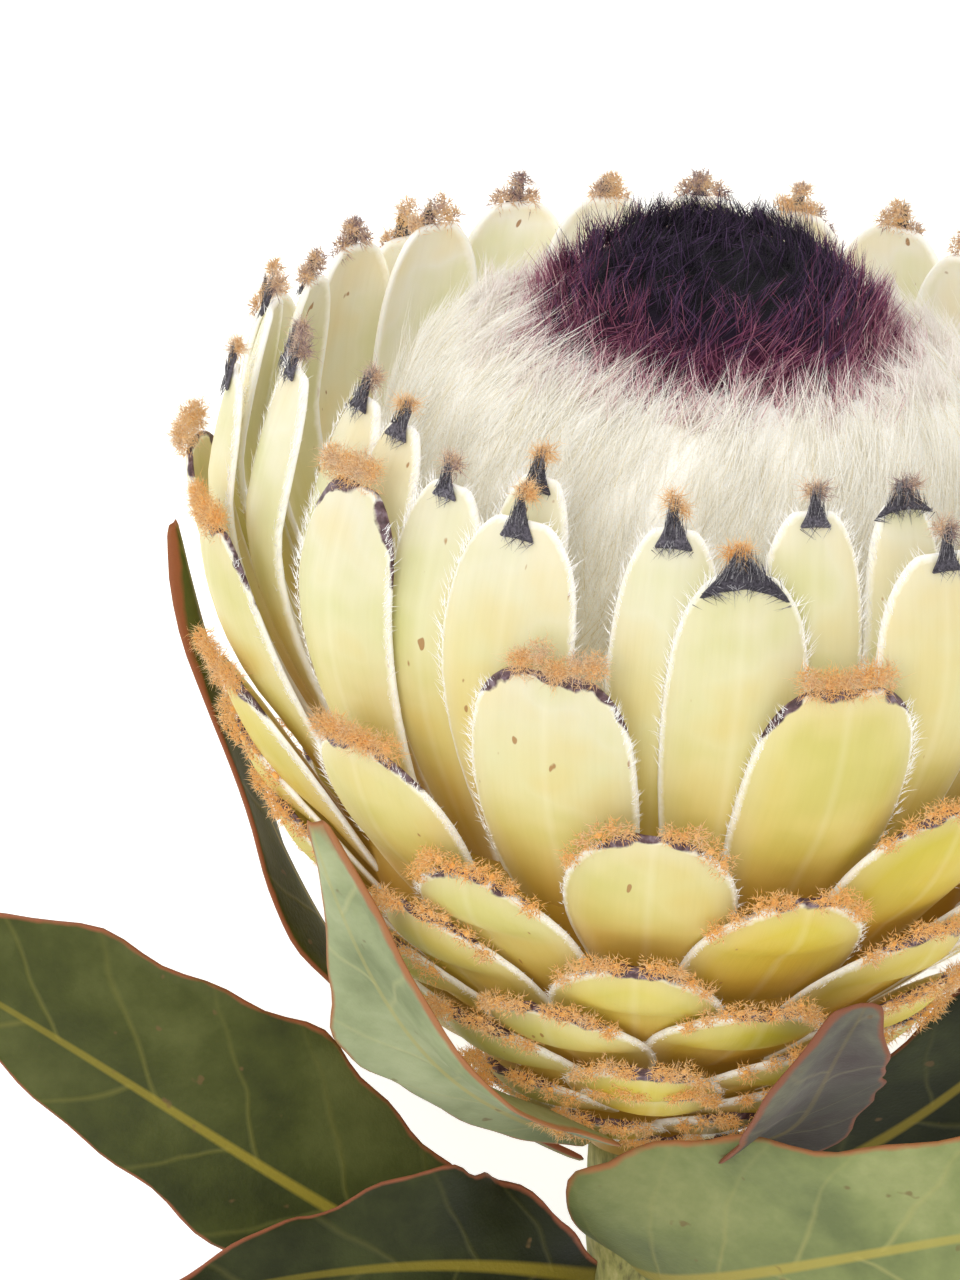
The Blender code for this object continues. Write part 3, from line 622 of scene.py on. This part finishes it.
def addPeak(felt, peak, where, wide, tall):
    # the dark felted point on the tip of the inner bracts; its foot follows the tip's arch
    points, faces = peak
    lean = draw.uniform(-0.9, 0.9)
    reach = peakSize["length"] * tall
    foot = where[0][2] - reach * 0.55

    def setOnTip(x, y, lift):
        bow = 0.06 * x ** 2 * np.clip(1 - 2 * y / reach, 0, 1)
        return np.column_stack([x + lean * np.clip(y / reach, 0, 1) ** 1.5, y + foot - bow, lift])
    local = setOnTip(points[:, 0] * wide, points[:, 1] * tall, points[:, 2] + peakSize["lift"])
    felt.add(layBract(*where, local), faces, {"share": 0.2, "shade": draw.uniform(0.1, 0.5)})
    hairs = int(peakSize["hairs"] * wide)
    along = draw.uniform(0, 0.95, hairs)
    half = np.interp(along, *peakShape.T) * peakSize["width"] / 2 * wide
    roots = setOnTip(draw.uniform(-1, 1, hairs) * half, along * reach, np.full(hairs, peakSize["lift"]))
    heading = np.column_stack([-roots[:, 0] * 0.12 + draw.normal(scale=0.15, size=hairs), np.ones(hairs),
                               draw.uniform(0.05, 0.4, hairs)])
    heading[along < 0.2] *= [4, -1, 0.3]  # the lowest hairs feather out over the bract
    lengths = draw.uniform(1.0, 2.8, hairs)
    shades = np.where(draw.random(hairs) < 0.4, draw.uniform(0.7, 1.0, hairs), draw.uniform(0, 0.5, hairs))
    addHair(felt, layBract(*where, roots), localHeading(where, roots, heading), lengths,
            woolSize["feltRadius"], np.zeros((hairs, 3)), 1, shades)


def dressTip(bins, lump, peak, where, stations, tip):
    # wool, silk and a felted point for one bract, with fewer hairs on the far side
    wool, silk, felt = bins
    _, _, length, width = where[0][:4]
    behind = -math.cos(math.radians(where[1]))
    shown = woolSize["farShare"] if behind >= 0.2 and tip in ("arch", "cap") else 1.0
    if tip == "arch":
        # two tufts with a gap between them, a little above the edge
        pair = np.array([-0.24, 0.22]) + draw.uniform(-0.05, 0.05, 2)
        xs = (pair[:, None] + np.linspace(-0.15, 0.15, 5)).ravel() * width
        edge = tipContour(stations, width, length, xs) + 0.6
        mound = np.tile([0.2, 1.0, 1.7, 1.0, 0.2], 2)
        spots = np.column_stack([xs, edge + draw.uniform(0.7, 1.8, 10) * mound])
        shade = draw.uniform(0.0, 0.22)
    elif tip == "cap":
        xs = draw.uniform(-1.5, 1.5) + np.linspace(-1, 1, 5) * width * 0.2
        edge = tipContour(stations, width, length, xs * 0.8)
        spots = np.column_stack([xs, edge + draw.uniform(0.1, 2.4, 5)])
        shade = draw.uniform(0.1, 0.45)
    elif behind < 0.25:
        scale = draw.uniform(0.7, 1.0) * (width / 20) ** 0.5
        wide, tall = (2.1 * scale, 0.62 * scale) if tip == "wide" else (scale, scale)
        addPeak(felt, peak, where, wide, tall)
        top = length + peakSize["length"] * tall * 0.45
        spots = [(draw.uniform(-0.8, 0.8) * wide / tall, top + draw.uniform(0, 1.2)) for _ in range(3)]
        shade = draw.uniform(0.1, 0.5) if draw.random() < 0.6 else 0.9
        tip = "peak"
    else:
        # the bracts behind the florets end in a ragged tuft round a small dark point
        scale = draw.uniform(0.6, 0.85)
        addPeak(felt, peak, where, scale, scale)
        spread = draw.uniform(1.3, 2.9)
        spots = [(spread * k, length + 0.6 + draw.uniform(-0.8, 1.2) - 0.4 * abs(k) * spread)
                 for k in (-1, 0.1, 1)]
        spots.append((draw.uniform(-1, 1), length + draw.uniform(2.2, 4.2)))
        shade = draw.uniform(0.45, 0.95)
        tip = "back"
    half, high, hairs, *others = tuftLook[tip]
    if tip == "arch":
        half, high, hairs = half * width, 1.0 + high * width, hairs * width
    woolAlong(wool, lump, where, spots, shade, half, high, int(hairs * shown), *others)
    silkAlong(silk, where, stations, shown, *silkLook[tip])


def growBracts(rowNames, prefix, slot, node, materials):
    blades, wool, silk, felt = PartsBin(), PartsBin(), PartsBin(), PartsBin()
    lump = modelLump()
    peak = modelBlade(peakShape, peakSize["width"], peakSize["length"], peakSize)
    for rowName in rowNames:
        row = bractRows[rowName]
        _, _, length, width, _, belly, ripeness, shape, usualTip, places = row
        stations = np.array(bladeShapes[shape])
        points, faces = modelBlade(stations, width, length, bractLook)
        rim, tipward = bladeRim(points, stations, width, length)
        uv = points[:, :2] / 100 + [0.5, 0]
        share = np.clip(points[:, 1] / length, 0, 1)
        # the bare part bulges, and the sides of the tip curl in
        across = np.clip(points[:, 0] / (np.interp(share, *stations.T) * width / 2), -1, 1)
        bareShare = bractLook["bareLength"][shape] / length
        bare = np.clip((share - (1 - bareShare)) / bareShare, 0, 1)
        points[:, 2] += belly * (1 - across ** 2) * np.sin(math.pi * bare ** 0.85)
        points[:, 2] -= bractLook["curledSides"] * across ** 4 * share
        for place, (azimuth, tipHeight, *otherTip) in enumerate(places):
            tip = otherTip[0] if otherTip else usualTip
            tipHeight = tipHeight + stagger.get(rowName, 0) * (place * 0.618 % 1 - 0.5)
            where = (row, azimuth, tipHeight)
            behind = max(0.0, -math.cos(math.radians(azimuth)))  # 1 at the back
            local = points.copy()
            if shape == "long":
                local[:, 0] *= 1 + (bractLook["backWidth"] / width - 1) * behind ** 0.7
            margin = bractLook["dryMargin"][tip] * draw.uniform(0.8, 1.2)
            tone = draw.random()
            patchy = bractLook["patchy"] * min(1, 3 * ripeness) * math.sin(math.radians(3 * azimuth))
            # the far bracts turn paler: partly their own colour, partly painted light on their shaded inner
            # faces
            ripenessAndLight = ripeness + patchy + draw.normal(scale=bractLook["uneven"]) - bractLook["paler"] * behind
            blades.add(layBract(*where, local), faces, {"rim": rim, "tipward": tipward, "share": share,
                                                        "tone": tone, "ripenessAndLight": ripenessAndLight, "margin": margin}, uv)
            dressTip((wool, silk, felt), lump, peak, where, stations, tip)
    blades.finish(prefix + "Blades", materials["skin"], slot, [node])
    wool.finish(prefix + "Wool", materials["wool"], slot, [node])
    silk.finish(prefix + "Silk", materials["silk"], slot, [node], smooth=False)
    felt.finish(prefix + "Peaks", materials["felt"], slot, [node])


# ---- turned bodies: receptacle, floret dome and crown, each as (radius, height) stations
lowerCore = [(7.2, 0.0), (10.2, 3.2), (15.4, 8.6), (20.6, 14.8), (25.8, 22.0)]
upperCore = [(26.1, 22.3), (33.6, 31.0), (41.2, 41.0), (46.2, 52.0), (48.6, 58.0)]
# the wool stands out from the CAD's dome and fills the cup
domeProfile = [(35.4, 58.3), (38.5, 70.0), (42.5, 86.0), (43.6, 96.0), (42.8, 104.5), (40.6, 111.0),
               (37.4, 115.8), (33.2, 119.0), (28.4, 120.8), (22.6, 121.5)]
crownFoot = [(36.6, 115.6), (33.2, 118.8), (28.4, 120.6), (22.6, 121.3)]
crownProfile = [(24.6, 120.9), (22.6, 123.6), (20.0, 127.2), (16.0, 130.6), (11.0, 133.1), (5.4, 134.5)]
woolLook = {"from": 84.0, "locks": 1690, "hairsPerLock": 9, "length": 12.0, "radius": 0.065, "lift": 0.07,
            "swirl": (0.2, 0.22), "spread": 1.7, "gather": 0.5}
crownLook = {"from": 118.2, "locks": 1850, "hairsPerLock": 7, "length": 6.2, "radius": 0.08, "lift": 0.55,
             "swirl": (0.25, 0.45), "spread": 0.9, "gather": 0.3}


def profileSpots(profile, low, count):
    # random places on a turned body above a height: point, outward, uphill and sideways
    line = np.array(profile)
    fine = np.linspace(0, len(line) - 1, 160)
    radius, height = (np.interp(fine, range(len(line)), column) for column in line.T)
    keep = height >= low
    radius, height = radius[keep], height[keep]
    steps = np.concatenate([[0], np.hypot(np.diff(radius), np.diff(height))])
    area = np.cumsum(steps * radius)
    place = np.interp(draw.uniform(0, area[-1], count), area, np.arange(len(area)))
    r, z, slopeR, slopeZ = (np.interp(place, range(len(radius)), values)[:, None]
                            for values in (radius, height, np.gradient(radius), np.gradient(height)))
    angle = draw.uniform(0, fullTurn, count)
    around = np.column_stack([np.sin(angle), -np.cos(angle), np.zeros(count)])
    uphill = unit(around * slopeR + axis * slopeZ)
    outward = unit(around * slopeZ - axis * slopeR)
    return around * r + axis * z, outward, uphill, np.cross(uphill, outward)


def locksOfHair(profile, look, shadeOf):
    # hairs in pointed locks: roots spread round the lock's foot, tips gathered at its point
    locks, each, lift = look["locks"], look["hairsPerLock"], look["lift"]
    point, outward, uphill, sideways = profileSpots(profile, look["from"], locks)
    heading = unit(uphill * (1 - lift) + outward * lift + sideways * draw.normal(*look["swirl"], (locks, 1))
                   + outward * draw.normal(scale=lift * 0.5, size=(locks, 1)))
    length = look["length"] * draw.uniform(0.7, 1.25, locks)
    reach = np.repeat(length, each) * draw.uniform(0.72, 1.1, locks * each)
    across, along = draw.normal(scale=look["spread"], size=(locks * each, 2)).T[:, :, None]
    aside = np.repeat(sideways, each, axis=0) * across + np.repeat(uphill, each, axis=0) * along
    roots = np.repeat(point, each, axis=0) + aside
    tips = np.repeat(point + heading * length[:, None], each, axis=0) + aside * look["gather"]
    tips = tips + draw.normal(scale=0.35, size=roots.shape)
    below = np.repeat(outward, each, axis=0)
    sag = -below * (reach * 0.10)[:, None] + draw.normal(scale=0.4, size=roots.shape)
    hair = PartsBin()
    addHair(hair, roots, unit(tips - roots), reach, look["radius"], sag, 2, shadeOf(roots))
    return hair


def growFlorets(white, dark):
    dome, faces = modelTurned(domeProfile, 40, 1)
    finishAlone("domeBase", dome, faces, {"share": 0.0, "shade": np.clip((dome[:, 2] - 62) / 30, 0.1, 1.0)},
                white, "white_florets", ["floret_dome"])

    def whiteShade(roots):
        return np.clip(draw.normal(0.7, 0.25, len(roots)) - np.clip((98 - roots[:, 2]) / 50, 0, 0.5), 0, 1)
    wool = locksOfHair(domeProfile[:-2], woolLook, whiteShade)
    wool.finish("domeWool", white, "white_florets", ["floret_dome"], smooth=False)

    crown, faces = modelTurned(crownProfile, 36, 1)
    away = np.hypot(crown[:, 0], crown[:, 1])
    crown[:, 2] -= 0.9 * np.clip(1.3 - away / 24, 0, 1)  # stays under the hair
    finishAlone("crownBase", crown, faces, {"share": 0.0, "shade": np.clip((away - 15) / 16, 0, 0.6)},
                dark, "dark_florets", ["floret_crown"])

    def darkShade(roots):
        # black violet in the middle, wine red and pink towards the edge on the front
        away = np.hypot(roots[:, 0], roots[:, 1])
        front = np.clip(-roots[:, 1] / 30, 0, 1)
        wave = np.sin(np.arctan2(roots[:, 0], roots[:, 1]) * 7) + draw.normal(0, 2.2, len(roots))
        shade = (away + wave - 15 - 0.5 * front) / (13 + 4 * front)
        # one hair in five in the dark middle is paler: painted highlight on the crown's hair tips
        single = np.where(draw.random(len(roots)) < 0.2, 0.24, 0) * (shade < 0.42)
        return np.clip(np.maximum(shade, 0) + single, 0, 1)
    wool = locksOfHair(crownFoot + crownProfile + [(0.4, 134.8)], crownLook, darkShade)
    wool.finish("crownWool", dark, "dark_florets", ["floret_crown"], smooth=False)


# ---- leaves, on the CAD's own midribs
leafShapes = {
    "plain": [0.15, 0.42, 0.72, 0.92, 1.0, 0.97, 0.84, 0.60, 0.30, 0.05],
    "lobed": [0.34, 0.80, 0.96, 1.0, 0.98, 0.92, 0.80, 0.60, 0.32, 0.06],
    "tapered": [0.13, 0.26, 0.48, 0.74, 0.92, 1.0, 0.98, 0.86, 0.56, 0.10],
    "blunt": [0.2, 0.52, 0.82, 0.97, 1.0, 0.99, 0.94, 0.83, 0.62, 0.24],
}
# dark, middle and pale patches of the blade, side veins, midrib, edge
leafPalettes = {
    "green": ("#30350F", "#434819", "#565A2A", "#6F6C30", "#A2902E", "#96583A"),
    # a darker copy of the green palette: painted shade for the leaves that lie in shadow
    "shaded": ("#1B1F08", "#282C10", "#3A3F1C", "#55532A", "#948228", "#91543A"),
    "silver": ("#6C764A", "#848D58", "#9EA26C", "#A6A366", "#B3A34E", "#A46A42"),
    "frosted": ("#7E8860", "#97A076", "#AFB68C", "#B4B482", "#B5AA66", "#A46A42"),
    "purple": ("#453838", "#57524A", "#777660", "#7C745C", "#7C6E48", "#855038"),
}
# how much wider each side is than half the width, from base to tip: the bloom's side, the outer side
even = [1.0, 1.0, 1.0, 1.0, 1.0]
leafLop = {
    "leaf_left": ([1.0, 1.1, 1.08, 1.0, 1.0], [0.9, 0.82, 0.68, 0.5, 0.3]),
    "leaf_front_left": ([1.0, 1.1, 0.9, 0.6, 0.7], even),
    "leaf_right": (even, [1.5, 1.75, 1.25, 1.1, 1.0]),
    "leaf_hug_left": ([0.8, 1.9, 1.9, 1.85, 2.0], [0.6, 0.7, 0.95, 1.0, 1.0]),
    "leaf_small_right": ([0.5, 0.8, 1.2, 1.1, 0.9], [0.5, 0.9, 1.4, 1.7, 1.8]),
    "leaf_tall_left": ([0.4, 0.45, 0.8, 1.0, 1.0], [0.4, 0.45, 0.8, 1.0, 1.0]),
    "leaf_tall_right": (even, [0.3, 0.45, 0.85, 1.2, 1.2]),
}
# midrib's four points, width, the way the face looks at base and tip, fold in degrees, depth and
# number of the edge waves, outline, palette
leaves = {
    "leaf_left": ([(-5.9, -.9, -29), (-34, -17, -17), (-66, -20, 12), (-114, 8, 20)],
                  38.0, (0.1, -1, 0.4), (0.1, -1, 0.3), 8, 1.6, 2.0, "tapered", "green"),
    "leaf_front_left": ([(-3.9, -6.0, -20), (-16, -18, -13), (-32, -34, -3), (-64, -45, -9)],
                        32.0, (0.2, -1, 0.5), (-0.2, -1, 0.5), 16, 4.0, 2.5, "tapered", "shaded"),
    "leaf_right": ([(1.0, -6.9, -17), (9, -31, -12), (47, -50, 21), (106, -30, 15)],
                   31.0, (0.1, -1, -0.05), (0.1, -1, 0.3), 10, 2.2, 2.5, "lobed", "silver"),
    "leaf_hug_left": ([(-6.2, -3.6, 0), (-20, -14, 9), (-34, -36, 21), (-48, -46, 65)],
                      25.0, (-0.5, -1, 0.0), (-0.7, -0.8, 0.0), 14, 1.6, 2.0, "plain", "frosted"),
    "leaf_tall_left": ([(-6.8, 2.5, -6), (-35, 7, 1), (-57, 16, 26), (-71.5, 12, 83)],
                       28.0, (-1, -0.3, -0.4), (-1, 0.1, 0.0), 12, 1.6, 2.5, "plain", "green"),
    "leaf_small_right": ([(6.5, -2.6, 0), (27, -4, 4), (19, -35, 20), (27, -52, 48)],
                         19.0, (0.4, -1, 0.0), (0.4, -1, 0.1), 14, 1.2, 1.5, "blunt", "purple"),
    "leaf_tall_right": ([(6.2, 3.4, -14), (32, 6, -9), (58, -2, 20), (75, -12, 66)],
                        33.0, (0.4, -0.9, 0.0), (0.3, -1, 0.1), 12, 1.8, 2.5, "plain", "shaded"),
    "leaf_back_right": ([(5.6, 4.6, -30), (34, 10, -40), (66, 8, -52), (96, -4, -60)],
                        31.0, (0.1, -1, 0.3), (0.2, -1, 0.0), 10, 2.2, 2.0, "plain", "green"),
    "leaf_back_left": ([(-5.0, 3.6, -42), (-30, 8, -56), (-58, 4, -70), (-88, -6, -76)],
                       30.0, (0.0, -1, 0.3), (-0.2, -1, 0.0), 10, 2.2, 2.0, "plain", "green"),
}
leafLook = {"thickness": 0.9, "columns": 8, "rows": 22, "rounds": 1, "ribRaise": 0.35, "stretch": 0.93,
            "dents": 0.05}


def layLeaf(spec, stations, local, length):
    # bends a flat blade along its midrib, with the fold and edge waves of the CAD
    midrib, width, faceBase, faceTip, fold, wave, waves = spec[:7]
    a, b, c, d = np.array(midrib, float)
    x, y, lift = local.T
    share = np.clip(y / length, 0, 1)
    t = share[:, None]
    forward = unit((b - a) * (1 - t) ** 2 + (c - b) * 2 * (1 - t) * t + (d - c) * t * t)
    facing = np.array(faceBase, float) * (1 - t) + np.array(faceTip, float) * t
    side = unit(np.cross(forward, facing))
    normal = unit(np.cross(side, forward))
    across = np.clip(x / (np.interp(share, *stations.T) * width / 2), -1, 1)
    shift = np.where(across > 0, 0.9, 0.0)
    ripple = wave * across ** 2 * np.sin(fullTurn * (waves * share + shift)) * np.minimum(1, 3 * share)
    folded = (np.sqrt(x ** 2 + 0.5) - 0.7) * math.tan(math.radians(fold))
    rib = leafLook["ribRaise"] * np.exp(-(x / (1.5 - share)) ** 2) * (1 - 0.5 * share)
    return onCurve(midrib, t) + side * x[:, None] + normal * (folded + ripple + rib + lift)[:, None]


def growLeaves(materials):
    for name, spec in leaves.items():
        midrib, width, shape, palette = spec[0], spec[1], spec[7], spec[8]
        alongs = np.linspace(0, 1, leafLook["rows"] + 1)
        fine = np.linspace(-0.1, 1.1, 49)
        outline = np.interp(fine, np.linspace(0, 1, 10), leafShapes[shape])
        outline = np.convolve(outline, np.ones(5) / 5, "same")  # rounds its corners off
        stations = np.column_stack([alongs, np.maximum(np.interp(alongs, fine, outline), 0.05)])
        curve = [Vector(p) for p in midrib]
        length = sum((curve[k + 1] - curve[k]).length for k in range(3)) * leafLook["stretch"]
        points, faces = modelBlade(stations, width, length, leafLook)
        rim, _ = bladeRim(points, stations, width, length)
        share = np.clip(points[:, 1] / length, 0, 1)
        lop = leafLop.get(name, (even, even))
        inner, outer = (np.interp(share, np.linspace(0, 1, 5), side) for side in lop)
        wider = np.where(points[:, 0] > 0, inner, outer)
        first, second = draw.uniform(0, 6.28, 2)
        dents = np.sin(share * 23 + first + 2.5 * np.sign(points[:, 0])) + 0.6 * np.sin(share * 51 + second)
        points[:, 0] *= wider * (1 + leafLook["dents"] * dents * np.minimum(1, 5 * share))
        laid = layLeaf(spec, stations, points, length)
        finishAlone(name + "Blade", laid, faces, {"rim": rim, "share": share}, materials[palette], "leaf",
                    [name], points[:, :2] / 100 + [0.5, 0])


# ---- stem
stemLook = {"length": 101.0, "radius": 5.2, "neckRadius": 6.6, "bend": 2.5, "bevel": 0.5, "sides": 28,
            "rings": 26}


def growStem(material):
    profile = []
    for share in 1 - np.arange(stemLook["rings"] + 1) / stemLook["rings"]:
        radius = stemLook["radius"] + (stemLook["neckRadius"] - stemLook["radius"]) * (1 - share) ** 3
        swelling = 0.25 * math.sin(share * 23) + 0.18 * math.sin(share * 51 + 1)  # old leaf joints
        bevel = stemLook["bevel"] if share == 1 else 0
        profile.append((radius + swelling * min(1, 8 * share) - bevel, -0.3 - stemLook["length"] * share))
    profile = [(3.2, profile[0][1])] + profile + [(3.0, -0.25)]
    points, faces = modelTurned(profile, stemLook["sides"], 0)
    share = np.clip((-0.3 - points[:, 2]) / stemLook["length"], 0, 1)
    points[:, 0] += stemLook["bend"] * np.sin(math.pi * share) * share
    finishAlone("stemBody", points, faces, {"cut": share > 0.999}, material, "stem", ["stem"])


# ---- floor and light
# in metres; each light's place, power in watts and size
studio = {"floorSize": 6.0, "floorHeight": -0.0003, "floorGlow": 0.5, "skyStrength": 0.85,
          "aim": (0, 0.02, 0.05),
          "lights": {"keyLight": ((-0.32, 0.22, 1.0), 4.6, 0.7), "fillLight": ((0.7, -0.5, 0.6), 1.1, 0.8)}}


def buildStudio():
    bpy.ops.object.select_all(action="DESELECT")
    bpy.ops.mesh.primitive_plane_add(size=studio["floorSize"], location=(0, 0, studio["floorHeight"]))
    floor = bpy.context.active_object
    floor.name = "paleFloor"
    # matt white paper; its small glow keeps it as white as in the photograph
    paper, _ = startMaterial("whitePaperSweep", Roughness=0.9, Emission_Strength=studio["floorGlow"],
                             Base_Color="#FBFBFB", Emission_Color="#FFFFFF")
    floor.data.materials.append(paper)
    for name, (place, power, size) in studio["lights"].items():
        bpy.ops.object.light_add(type="AREA", location=place)
        lamp = bpy.context.active_object
        lamp.name = name
        lamp.data.energy = power
        lamp.data.size = size
        aim = Vector(studio["aim"]) - Vector(place)
        lamp.rotation_euler = aim.to_track_quat("-Z", "Y").to_euler()
    world = bpy.data.worlds.new("studioWorld")
    bpy.context.scene.world = world
    world.use_nodes = True
    sky = world.node_tree.nodes["Background"]
    sky.inputs["Color"].default_value = linearColour("#FFFFFF")
    sky.inputs["Strength"].default_value = studio["skyStrength"]
    bpy.context.scene.view_settings.view_transform = "Standard"


placeCamera()
buildStudio()
print("camera and studio set")

silkWhite = fineHair("silkyWhiteHair", 0.6, 0.2, "#FFFFFF", [
    (0.0, "#F2EBD8", "#FBF7EC"), (1.0, "#FFFFFF", "#FFFFFF")], 0.08)
orangeWool = fineHair("crinkledOrangeWool", 0.8, 0.3, "#F4E0C4", [
    (0.0, "#F3B65C", "#FFD892"), (0.35, "#E9BC7A", "#FFE2B4"), (0.65, "#E2C29C", "#FFECCC"),
    (0.85, "#BC9E90", "#E4CEBE"), (1.0, "#806468", "#B49A9C")], 0.2)
greyFelt = fineHair("darkGreyFelt", 0.75, 0.15, "#6E6A74", [
    (0.0, "#413C44", "#5C5760"), (0.5, "#6A656E", "#96919A"), (1.0, "#C6C2C6", "#F2F0F0")])
whiteWool = fineHair("combedWhiteWool", 0.7, 0.3, "#F2EFE6", [
    (0.0, "#DCCDA4", "#F3EAD0"), (0.4, "#EAE4D2", "#FAF7ED"), (1.0, "#FCFAF4", "#FFFFFF")], 0.1)
# the light tips of the dark wool are painted highlights
darkWool = fineHair("darkVioletWool", 0.7, 0.06, "#FFFFFF", [
    (0.0, "#0A060D", "#2E2036"), (0.25, "#200F26", "#6A4C76"), (0.48, "#541B36", "#95486A"),
    (0.68, "#9C586E", "#C88C9C"), (0.84, "#D9AEB0", "#ECCFCC"), (1.0, "#F6ECE2", "#FEFAF4")])
bractMaterials = {"skin": waxyBract(), "wool": orangeWool, "silk": silkWhite, "felt": greyFelt}
growBracts(["scale1", "scale2", "scale3", "scale4"], "lowerScale", "scales", "base_scales", bractMaterials)
growBracts(["short1", "short2", "short3"], "shortBract", "bracts", "bracts", bractMaterials)
growBracts(["broad1", "broad2"], "broadBract", "bracts", "bracts", bractMaterials)
growBracts(["long1", "long2", "long3"], "longBract", "bracts", "bracts", bractMaterials)
print("bracts done")
for coreName, profile, slot, node in (("lowerReceptacle", lowerCore, "scales", "base_scales"),
                                      ("upperReceptacle", upperCore, "bracts", "bracts")):
    corePoints, coreFaces = modelTurned(profile, 40, 0)
    plainSkin = {"rim": 9.0, "tipward": 0.0, "share": 0.12, "tone": 0.5, "ripenessAndLight": 0.9, "margin": 0.0}
    finishAlone(coreName, corePoints, coreFaces, plainSkin, bractMaterials["skin"], slot, [node],
                np.zeros((len(corePoints), 2)))
growFlorets(whiteWool, darkWool)
print("florets done")
growLeaves({name: leafSkin(name + "LeafSkin", *palette) for name, palette in leafPalettes.items()})
growStem(stemBark())
print("leaves and stem done")

shown = [o for o in bpy.context.scene.objects if o.type == "MESH" and not o.hide_render]
print("triangles in all", sum(len(p.vertices) - 2 for o in shown for p in o.data.polygons))
